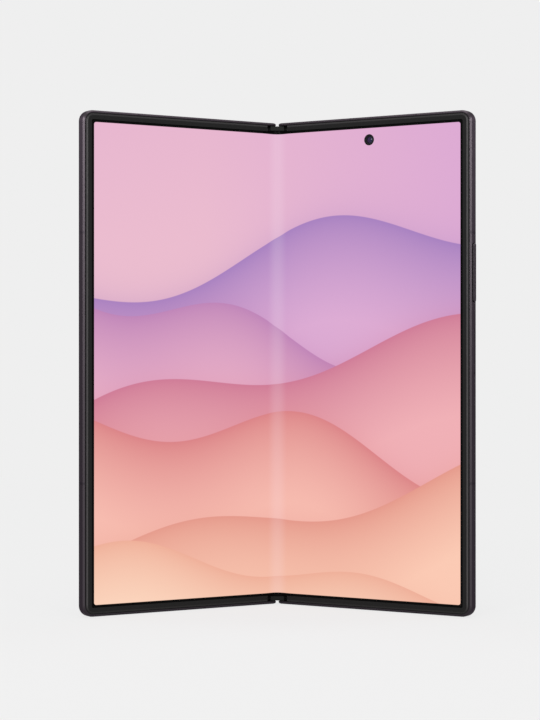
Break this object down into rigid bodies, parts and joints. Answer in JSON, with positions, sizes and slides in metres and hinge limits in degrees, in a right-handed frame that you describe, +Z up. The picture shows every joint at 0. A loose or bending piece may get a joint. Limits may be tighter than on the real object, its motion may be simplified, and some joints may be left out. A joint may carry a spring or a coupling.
{
  "type": "foldable smartphone",
  "caption": "Foldable smartphone that opens like a book, standing half open on its lower edge, with a folding inner display, hinge spine, keys and a card tray.",
  "frame": {"origin": "under the middle of the half-open phone, on the surface that it stands on", "axes": "+X to the right as the inner display is read, +Y from the inner display towards the hinge spine, +Z up along the hinge"},
  "size_m": [0.1243, 0.0411, 0.1584],
  "materials": {
    "anodised_metal": "satin anodised, dark purple grey",
    "antenna_plastic": "satin, a shade off the metal",
    "bezel_plastic": "satin black",
    "display_panel": "smooth film over a lit picture",
    "display_backing": "carbon weave",
    "cover_glass": "gloss, black behind",
    "back_glass": "frosted",
    "cover_panel": "off",
    "camera_body": "matt black",
    "battery_wrap": "satin wrap",
    "circuit_board": "satin solder mask",
    "speaker_case": "moulded",
    "steel_sheet": "stamped",
    "magnet_plate": "nickel plated",
    "hinge_steel": "ground",
    "screw_steel": "machined",
    "copper_wire": "wound",
    "lens_glass": "coated",
    "ring_metal": "turned and polished",
    "flash_resin": "clear yellow",
    "port_steel": "drawn",
    "port_resin": "moulded",
    "switch_dome": "dome"
  },
  "bodies": {
    "spine": {"spine_cover": "anodised_metal", "spine_end_caps": "anodised_metal", "hinge_brackets": "hinge_steel", "bracket_screws": "screw_steel", "display_fold": "display_panel"},
    "right_half": {"right_frame": "anodised_metal", "right_bezel": "bezel_plastic", "right_display": "display_panel", "right_backing": "display_backing", "right_antenna_breaks": "antenna_plastic", "back_glass": "back_glass", "camera_island": "back_glass", "lens_rings": "ring_metal", "lens_glasses": "lens_glass", "camera_modules": "camera_body", "flash_lens": "flash_resin", "inner_camera": "camera_body", "right_battery": "battery_wrap", "main_board": "circuit_board", "shield_cans": "steel_sheet", "charging_port": "port_steel", "port_tongue": "port_resin", "loudspeaker": "speaker_case", "vibration_motor": "steel_sheet", "charging_coil": "copper_wire", "key_switches": "switch_dome", "right_magnets": "magnet_plate", "right_rockers": "hinge_steel", "right_rocker_screws": "screw_steel"},
    "left_half": {"left_frame": "anodised_metal", "left_bezel": "bezel_plastic", "left_display": "display_panel", "left_backing": "display_backing", "left_antenna_breaks": "antenna_plastic", "cover_glass": "cover_glass", "cover_display": "cover_panel", "cover_camera": "camera_body", "left_battery": "battery_wrap", "left_board": "circuit_board", "earpiece_speaker": "speaker_case", "card_reader": "steel_sheet", "left_magnets": "magnet_plate", "left_rockers": "hinge_steel", "left_rocker_screws": "screw_steel"},
    "volume_key": {"volume_key": "anodised_metal"},
    "power_key": {"power_key": "anodised_metal"},
    "card_tray": {"card_tray": "anodised_metal"}
  },
  "joints": [
    {"name": "fold_right", "type": "hinge", "parent": "spine", "child": "right_half", "pos_m": [0.0012, 0.01725, 0.0792], "axis": [0, 0, -1], "range_deg": [-32, 58], "deforming": ["display_fold"]},
    {"name": "fold_left", "type": "hinge", "parent": "spine", "child": "left_half", "pos_m": [-0.0012, 0.01725, 0.0792], "axis": [0, 0, 1], "range_deg": [-32, 58]},
    {"name": "volume_press", "type": "slide", "parent": "right_half", "child": "volume_key", "axis": [-0.848, 0.5299, 0], "range_m": [0, 0.00025], "stiffness_N_per_m": 2000, "springref_m": -0.0002},
    {"name": "power_press", "type": "slide", "parent": "right_half", "child": "power_key", "axis": [-0.848, 0.5299, 0], "range_m": [0, 0.00025], "stiffness_N_per_m": 2000, "springref_m": -0.0002},
    {"name": "tray_slide", "type": "slide", "parent": "left_half", "child": "card_tray", "axis": [0, 0, 1], "range_m": [0, 0.02]}
  ],
  "couplings": [
    {"joint": "fold_left", "follows": "fold_right", "ratio": 1}
  ]
}
